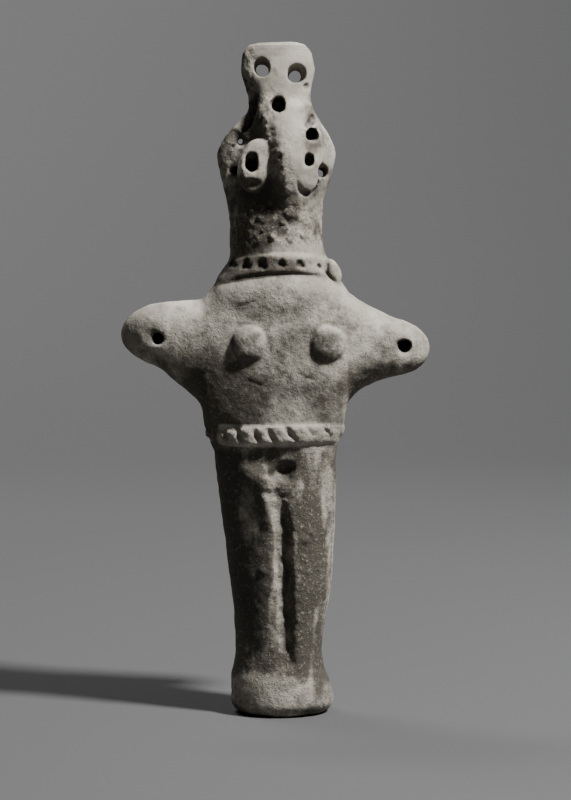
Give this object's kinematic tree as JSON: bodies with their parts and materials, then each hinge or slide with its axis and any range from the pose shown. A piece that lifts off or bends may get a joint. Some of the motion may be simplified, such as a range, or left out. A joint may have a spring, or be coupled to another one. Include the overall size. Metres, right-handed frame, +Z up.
{
  "type": "bird-headed clay figurine",
  "caption": "Standing bird-headed figurine of fired clay, with a pierced crown, pierced ears, stub arms and a roped belt.",
  "frame": {"origin": "centre of the flat sole", "axes": "+Z up the figure, -Y out of its face, +X towards its left arm"},
  "size_m": [0.0738, 0.0247, 0.16],
  "materials": {
    "clay": "matt fired clay, worn and patinated"
  },
  "bodies": {
    "root": {"figurine": "clay"}
  },
  "joints": []
}
